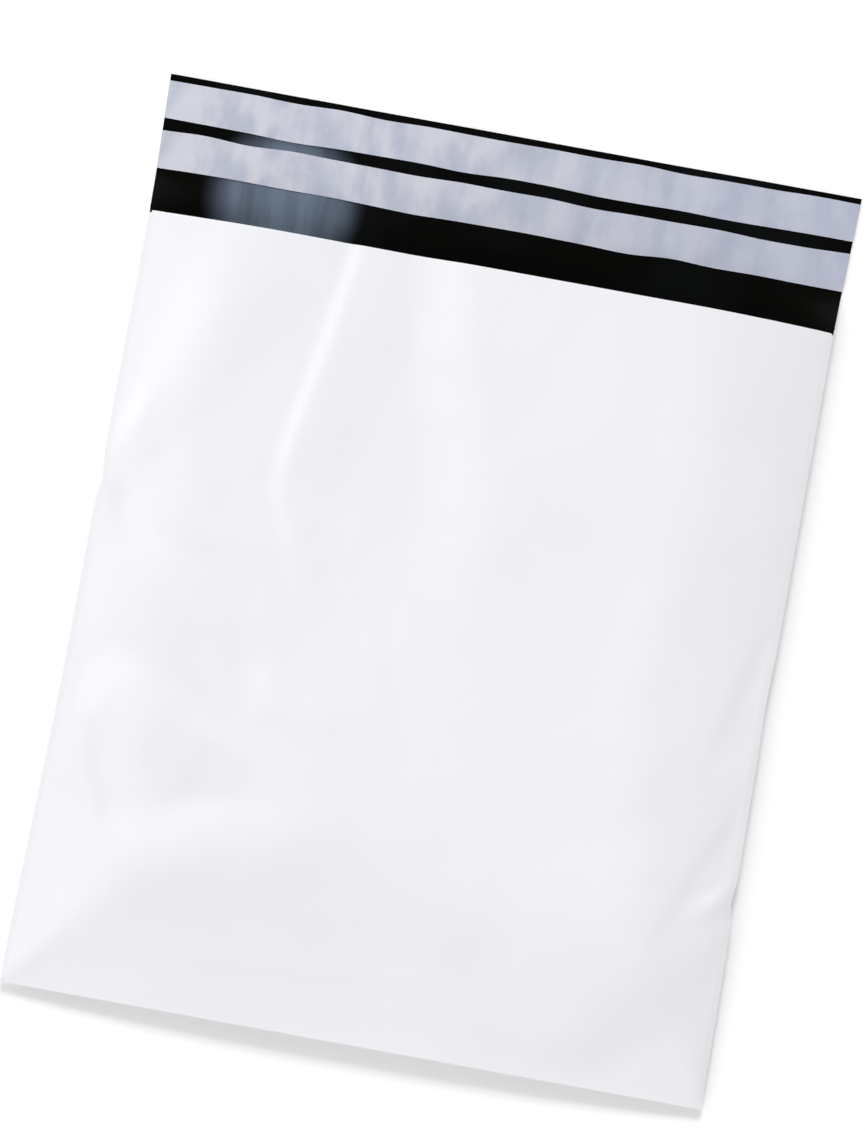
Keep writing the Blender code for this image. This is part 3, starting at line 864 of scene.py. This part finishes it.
def peel_liner():
    made, tree, shader = principled("peel_liner", (0.58, 0.60, 0.68), 0.32)
    place = node(tree, "ShaderNodeUVMap", (-1500, 100), uv_map="flat_strip")
    stretch = node(tree, "ShaderNodeMapping", (-1300, 100))
    stretch.inputs["Scale"].default_value = MOTTLE_STRETCH
    solid_place = node(tree, "ShaderNodeTexCoord", (-1500, -300))
    bars = placed_group(tree, clouds, (-1050, 300), Scale=58.0, Low=0.34, High=0.64)
    greys = colour_mix(tree, (-800, 300), (0.50, 0.53, 0.64), (0.66, 0.67, 0.745))
    flecks = placed_group(tree, clouds, (-1050, 0), Scale=210.0, Low=0.60, High=0.74)
    fleck_share = reckon(tree, "MULTIPLY", (-800, 0), FLECK_SHARE)
    flecked = node(tree, "ShaderNodeMix", (-550, 250), data_type="RGBA")
    flecked.inputs["B"].default_value = (0.80, 0.81, 0.87, 1.0)
    parts = node(tree, "ShaderNodeSeparateXYZ", (-1300, 500))
    # Painted shade: the liner is darkened and cooled towards its right end.
    right_end_shade = smooth_range(tree, (-800, 500), *SHADE_PLACES, 0.0, SHADE_SHARE)
    shaded = node(tree, "ShaderNodeMix", (-300, 350), data_type="RGBA")
    shaded.inputs["B"].default_value = (0.42, 0.45, 0.57, 1.0)
    rough = node(tree, "ShaderNodeMapRange", (-550, -50), To_Min=0.28, To_Max=0.42)
    crinkled = placed_group(tree, crinkle, (-1050, -400), Broad=0.35, Fine=0.35)
    bump = node(tree, "ShaderNodeBump", (-550, -400), Strength=0.4, Distance=0.0003)
    wire(
        tree,
        (place, "UV", stretch, "Vector"), (stretch, "Vector", bars, "Vector"),
        (bars, "Mask", greys, "Factor"), (solid_place, "Object", flecks, "Vector"),
        (flecks, "Mask", fleck_share, 0), (fleck_share, 0, flecked, "Factor"),
        (greys, "Result", flecked, "A"),
        (place, "UV", parts, "Vector"), (parts, "X", right_end_shade, "Value"), (right_end_shade, "Result", shaded, "Factor"),
        (flecked, "Result", shaded, "A"), (shaded, "Result", shader, "Base Color"),
        (bars, "Mask", rough, "Value"), (rough, "Result", shader, "Roughness"),
        (crinkled, "Height", bump, "Height"), (bump, "Normal", shader, "Normal"),
    )
    return made


def clear_gum():
    made, tree, shader = principled("clear_gum", (0.60, 0.57, 0.47), 0.28)
    crinkled = placed_group(tree, crinkle, (-800, -300), Broad=0.6, Fine=0.3)
    bump = node(tree, "ShaderNodeBump", (-400, -300), Strength=0.5, Distance=0.0002)
    wire(tree, (crinkled, "Height", bump, "Height"), (bump, "Normal", shader, "Normal"))
    return made


liner_finish, gum_finish = peel_liner(), clear_gum()

# %% The seals as pieces
for seal, centre_y, seed in (("shipping_seal", SHIPPING_Y, 21), ("return_seal", RETURN_Y, 31)):
    gum = strip_piece(
        seal + "_gum", centre_y, ADHESIVE_WIDTH, LAY_GAP, ADHESIVE_GAUGE, GUM_SWELL, seed, gum_finish,
    )
    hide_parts(seal + "_adhesive")
    cover = strip_piece(
        seal + "_cover", centre_y, LINER_WIDTH, 2.0 * LAY_GAP + ADHESIVE_GAUGE + LINER_CLEAR, LINER_GAUGE,
        LINER_SWELL, seed + 4, liner_finish,
    )
    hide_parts(seal + "_liner")

# %% [markdown]
# ## The table
#
# The bag lies on a plain white surface that is brighter than the bag in the picture, with only a soft
# shadow at the bottom edge. A brighter lamp would burn out the film too. So the surface is an ordinary
# pale diffuse one, which takes the shadow, and for camera, gloss and transmission rays it adds a little
# light of its own.

# %% Floor
FLOOR_HALF, FLOOR_DROP, FLOOR_GLOW = 20.0, 0.0001, 0.13


def floor_finish():
    made, tree, shader = principled("white_table", (0.93, 0.93, 0.93), 0.9)
    shader.inputs["Specular IOR Level"].default_value = 0.0
    rays = node(tree, "ShaderNodeLightPath", (-700, -200))
    either = reckon(tree, "MAXIMUM", (-500, -200))
    any_of = reckon(tree, "MAXIMUM", (-350, -200))
    glow = reckon(tree, "MULTIPLY", (-200, -200), FLOOR_GLOW)
    shader.inputs["Emission Color"].default_value = (1.0, 1.0, 1.0, 1.0)
    wire(
        tree,
        (rays, "Is Camera Ray", either, 0), (rays, "Is Glossy Ray", either, 1),
        (either, 0, any_of, 0), (rays, "Is Transmission Ray", any_of, 1),
        (any_of, 0, glow, 0), (glow, 0, shader, "Emission Strength"),
    )
    return made


floor_mesh = bpy.data.meshes.new("floor")
floor_mesh.from_pydata(
    [(-FLOOR_HALF, -FLOOR_HALF, -FLOOR_DROP), (FLOOR_HALF, -FLOOR_HALF, -FLOOR_DROP),
     (FLOOR_HALF, FLOOR_HALF, -FLOOR_DROP), (-FLOOR_HALF, FLOOR_HALF, -FLOOR_DROP)], [], [(0, 1, 2, 3)],
)
floor_mesh.materials.append(floor_finish())
floor = bpy.data.objects.new("floor", floor_mesh)
bpy.context.scene.collection.objects.link(floor)

# %% [markdown]
# ## The light
#
# The film's relief is a few millimetres high, so only light from one side shows it. In the picture the
# slopes towards the left are lighter and those towards the right darker, and yet the bag throws no shadow
# to the right. So that light is broad: the room is brighter at its left, and towards the bag's bottom end.
# A lamp beyond the mouth draws the short shadow at the bottom edge. The gloss doesn't mirror that lamp.
# Overhead the room is dim, which keeps the black film black, because black gloss shows what it mirrors.

# %% Room and lamp
ROOM_LOW, ROOM_HIGH, ROOM_TURNS, ROOM_LEAN = 0.89, 0.10, (0.72, 0.96), (-0.44, -0.41, 0.0)
# (name, direction, distance, side, power)
LAMPS = (("far_lamp", (-0.20, 1.45, 1.0), 15.0, 4.5, 1340.0),)

world = bpy.data.worlds.new("studio_room")
bpy.context.scene.world = world
world.use_nodes = True
room = world.node_tree
background = room.nodes["Background"]
direction = node(room, "ShaderNodeTexCoord", (-900, 0))
upwards = node(room, "ShaderNodeSeparateXYZ", (-700, 0))
rise = smooth_range(room, (-500, 0), *ROOM_TURNS, ROOM_LOW, ROOM_HIGH)
lean = node(room, "ShaderNodeVectorMath", (-700, -250), operation="DOT_PRODUCT")
lean.inputs[1].default_value = ROOM_LEAN
share = reckon(room, "ADD", (-500, -250), 1.0)
level = reckon(room, "MULTIPLY", (-250, 0))
wire(
    room,
    (direction, "Generated", upwards, "Vector"), (upwards, "Z", rise, "Value"),
    (direction, "Generated", lean, 0), (lean, "Value", share, 0), (rise, "Result", level, 0),
    (share, 0, level, 1), (level, 0, background, "Strength"),
)
background.inputs["Color"].default_value = (1.0, 1.0, 1.0, 1.0)


def soft_lamp(name, direction, distance, size, power):
    """A square area lamp at this distance from the origin in this direction, facing the origin. Gloss
    doesn't mirror it, because seen from the bag's bottom end its glare would burn the film out."""
    data = bpy.data.lights.new(name, "AREA")
    data.shape, data.size, data.energy = "SQUARE", size, power
    lamp = bpy.data.objects.new(name, data)
    bpy.context.scene.collection.objects.link(lamp)
    lamp.visible_glossy = False
    place = np.array(direction) / np.linalg.norm(direction) * distance
    back = place / np.linalg.norm(place)
    side = np.cross((0.0, 1.0, 0.0), back)
    side /= np.linalg.norm(side)
    up = np.cross(back, side)
    facing = Matrix(np.stack([side, up, back], axis=1).tolist())
    lamp.matrix_world = Matrix.LocRotScale(place.tolist(), facing.to_quaternion(), (1.0, 1.0, 1.0))
    return lamp


for lamp in LAMPS:
    print(lamp[0], "at", [round(v, 2) for v in soft_lamp(*lamp).location])

# %% [markdown]
# ## The camera
#
# The picture looks taken from nearly straight above, with the bag turned about ten degrees clockwise. The
# pose comes from a least-squares fit of the bag's six corners to where the picture shows them. The camera
# stands CAMERA_DISTANCE from the point that it looks at, tilted a little towards the bag's bottom, and
# turned about its own axis.

# %% Camera
CAMERA_DISTANCE, SENSOR, FOCAL_SHARE = 3.0, 36.0, 5.3552
TILT, LEAN, ROLL = math.radians(5.36), math.radians(-0.49), math.radians(10.33)
LOOKS_AT = (-0.0026, 0.0108, 0.0)

turned = Matrix.Rotation(ROLL, 3, "Z") @ Matrix.Rotation(LEAN, 3, "Y") @ Matrix.Rotation(TILT, 3, "X")
camera_data = bpy.data.cameras.new("camera")
camera_data.sensor_width, camera_data.lens = SENSOR, SENSOR * FOCAL_SHARE
camera_data.clip_start, camera_data.clip_end = 0.05, 100.0
camera = bpy.data.objects.new("camera", camera_data)
bpy.context.scene.collection.objects.link(camera)
stand = np.array(LOOKS_AT) + np.array(turned.col[2]) * CAMERA_DISTANCE
camera.matrix_world = Matrix.LocRotScale(stand.tolist(), turned.to_quaternion(), (1.0, 1.0, 1.0))
bpy.context.scene.camera = camera
print(f"camera at {[round(v, 3) for v in stand]}, lens {camera_data.lens:.0f} mm")

# %% Finish
bpy.context.scene.view_settings.view_transform = "Standard"
